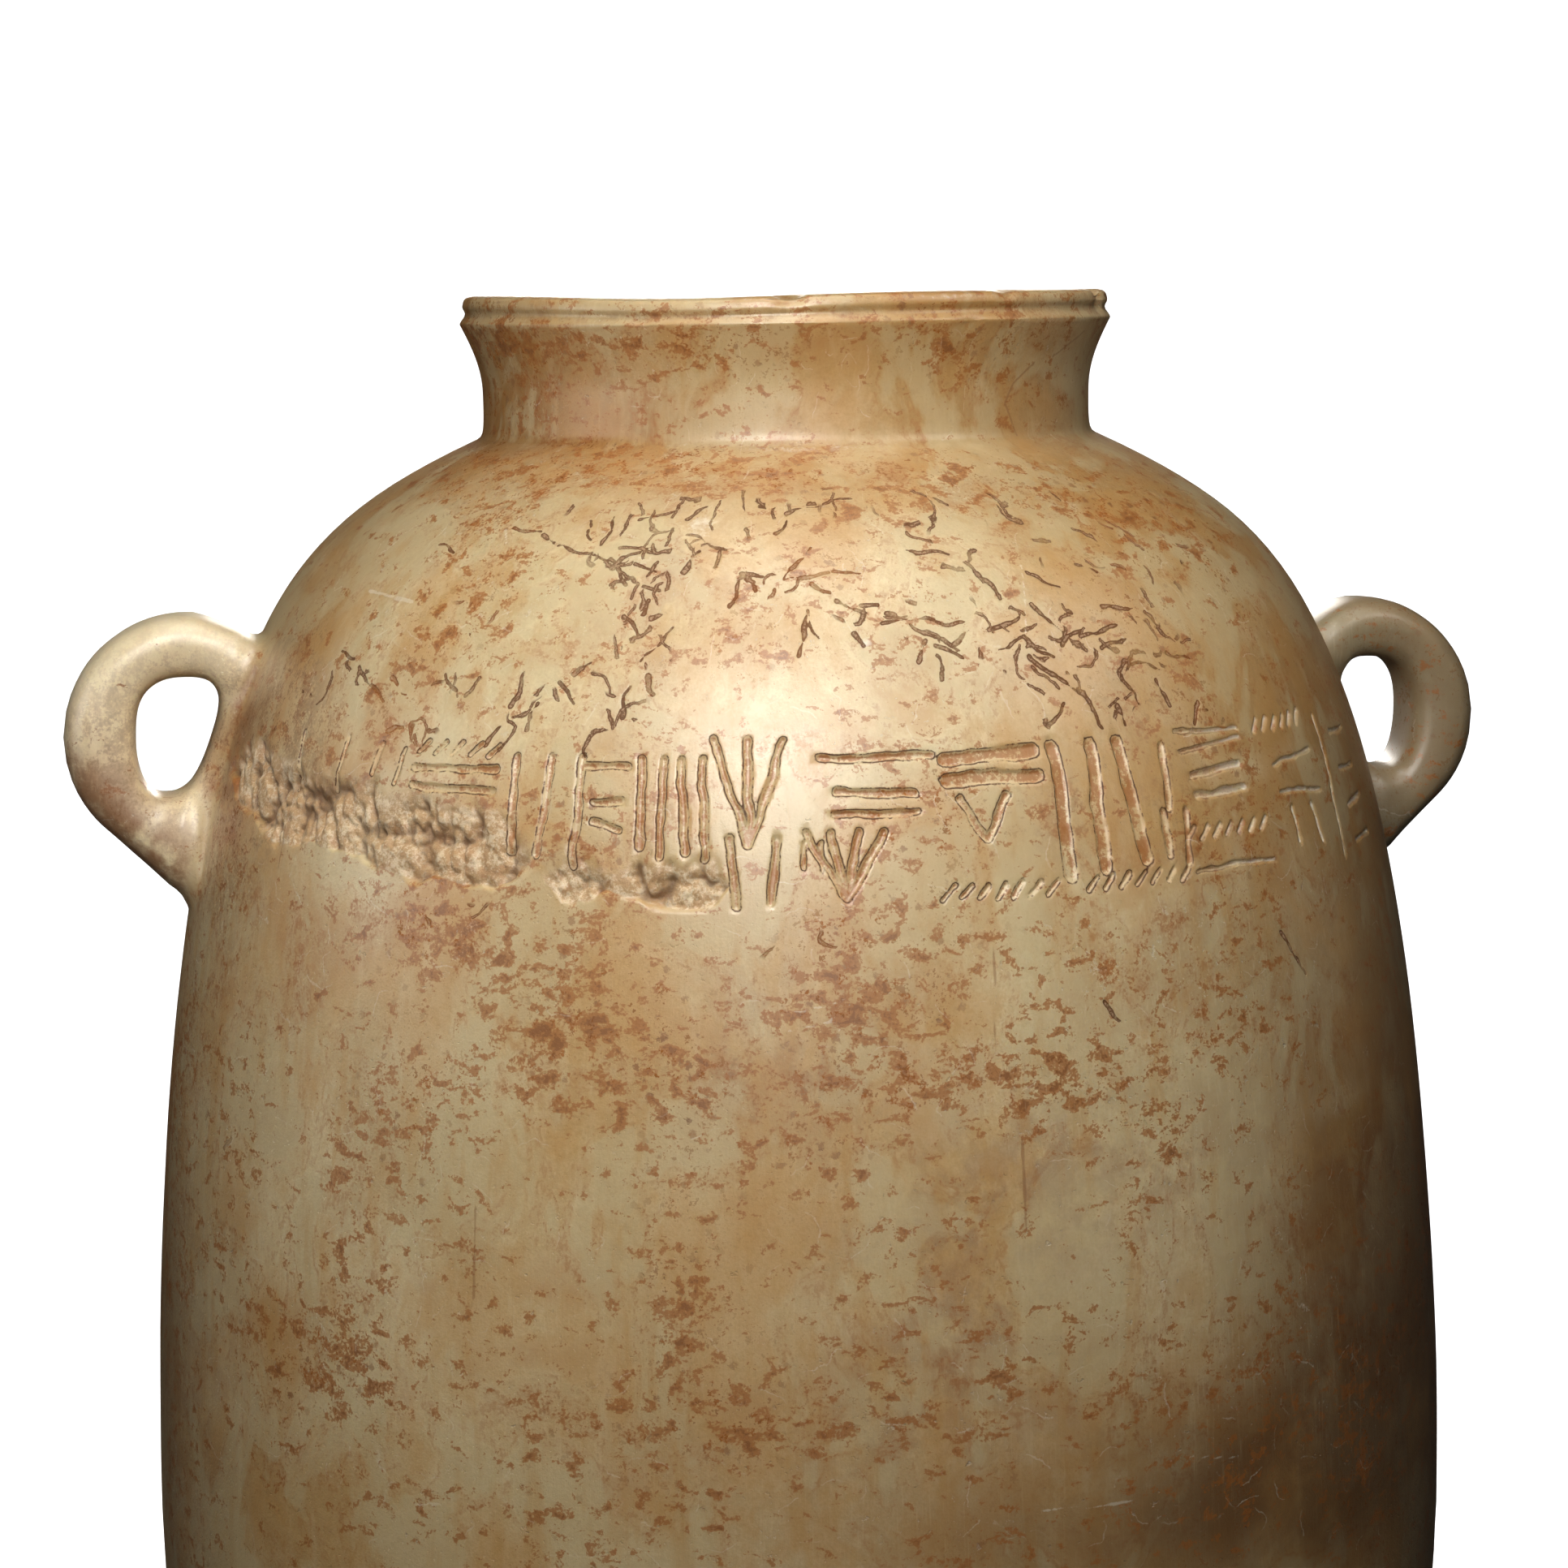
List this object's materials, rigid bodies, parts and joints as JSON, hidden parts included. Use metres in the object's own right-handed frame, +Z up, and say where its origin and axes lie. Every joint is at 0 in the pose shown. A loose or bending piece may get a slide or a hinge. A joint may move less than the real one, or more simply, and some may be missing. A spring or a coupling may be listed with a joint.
{
  "type": "alabastron",
  "caption": "Large carved stone jar with a rounded body, a short flaring neck with a grooved rim, and two loop handles on the shoulder.",
  "frame": {"origin": "centre of the flat foot's underside", "axes": "+Z up the jar's axis; the handles lie along -X and +X, and the carved band faces -Y"},
  "size_m": [0.389, 0.3512, 0.506],
  "materials": {
    "calcite": "honey-coloured banded calcite, polished, with brown stains and a rough spalled patch"
  },
  "bodies": {
    "root": {"jar": "calcite"}
  },
  "joints": []
}
